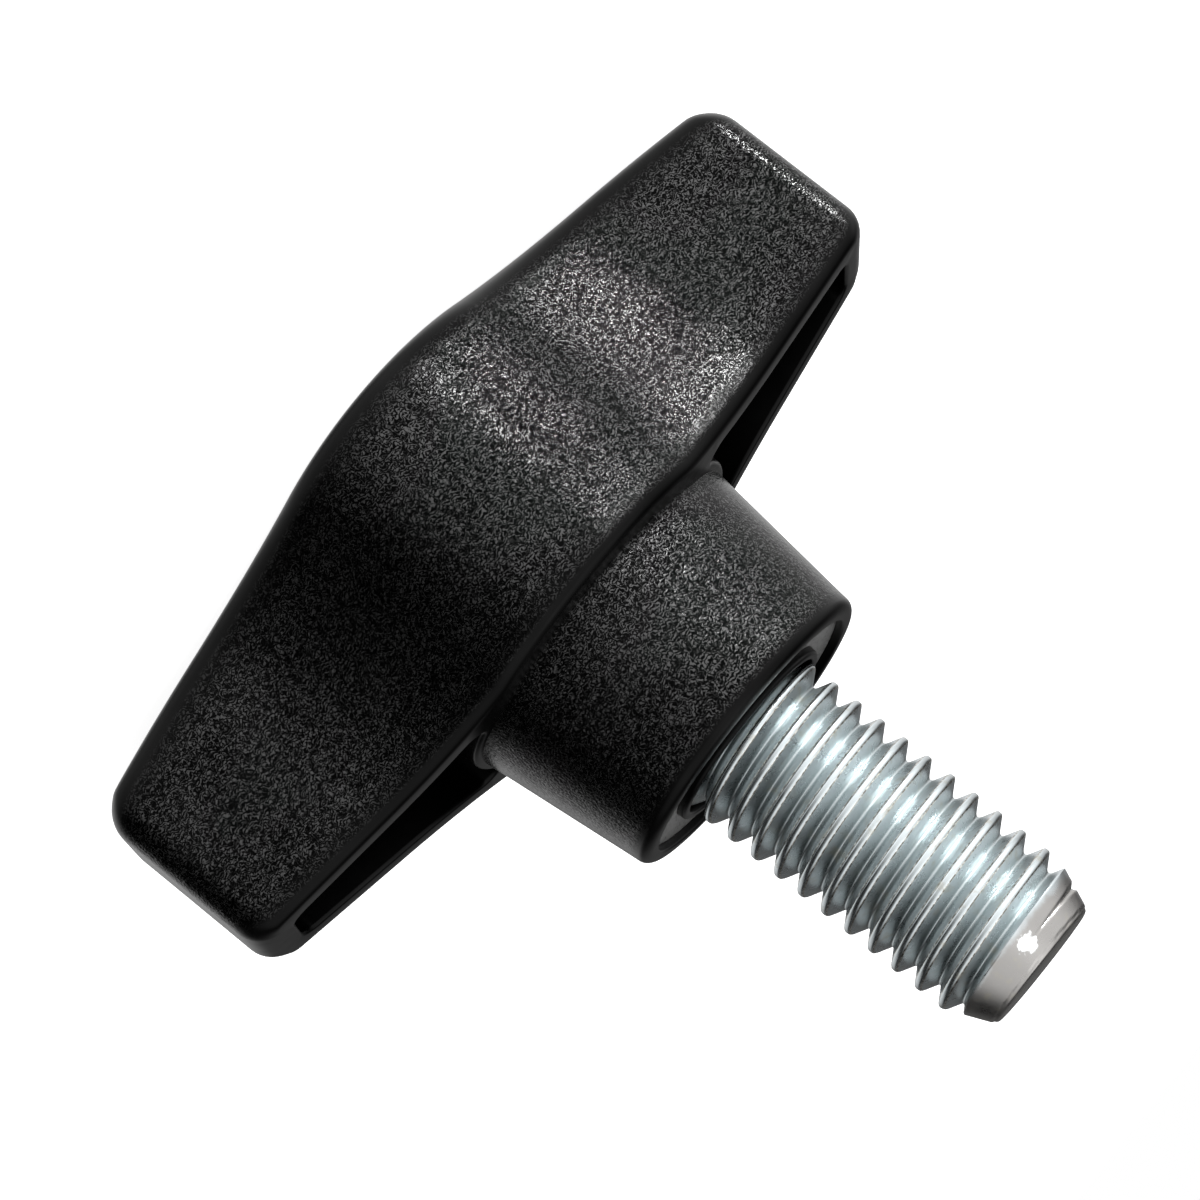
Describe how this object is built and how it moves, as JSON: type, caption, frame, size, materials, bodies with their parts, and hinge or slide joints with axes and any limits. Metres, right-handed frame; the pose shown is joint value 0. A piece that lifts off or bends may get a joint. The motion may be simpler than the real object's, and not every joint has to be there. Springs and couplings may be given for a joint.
{
  "type": "wing knob thumb screw",
  "caption": "Thumb screw with a black two-wing moulded knob, a tapered hub and a zinc-plated steel stud with a metric thread.",
  "frame": {"origin": "centre of the seating lip at the end of the hub, on the axis of the stud", "axes": "+Z out along the stud, X along the wings, Y through their thickness; the part stands on its crown"},
  "size_m": [0.0404, 0.02, 0.0358],
  "materials": {
    "knob_plastic": "black glass-filled nylon with a fine spark-eroded texture",
    "zinc_plated_steel": "bright zinc plating with a faint blue cast on a rolled thread"
  },
  "bodies": {
    "root": {"wing_knob": "knob_plastic", "threaded_stud": "zinc_plated_steel"}
  },
  "joints": []
}
